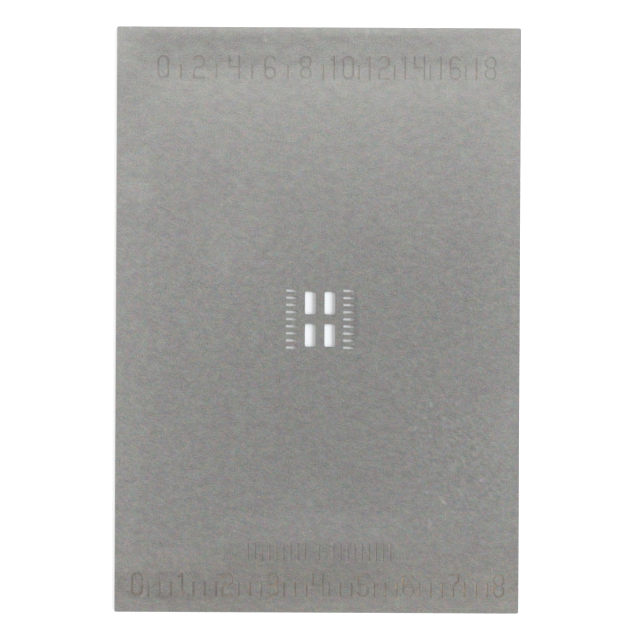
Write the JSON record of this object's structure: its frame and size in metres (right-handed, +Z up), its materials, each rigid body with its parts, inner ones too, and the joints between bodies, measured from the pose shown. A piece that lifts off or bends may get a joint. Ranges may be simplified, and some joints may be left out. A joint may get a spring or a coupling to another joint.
{
  "type": "solder paste stencil",
  "caption": "Flat laser-cut steel stencil sheet with rows of tiny lead apertures and split thermal pad windows for printing solder paste.",
  "frame": {"origin": "middle of the underside, the face that lies on the circuit board", "axes": "+X across the sheet, +Y along it towards the metric scale, +Z up out of the face that the squeegee wipes"},
  "size_m": [0.0228, 0.033, 0.0001],
  "materials": {
    "stainless_steel": "satin cold-rolled stainless steel with fine grain"
  },
  "bodies": {
    "root": {"stencil_sheet": "stainless_steel"}
  },
  "joints": []
}
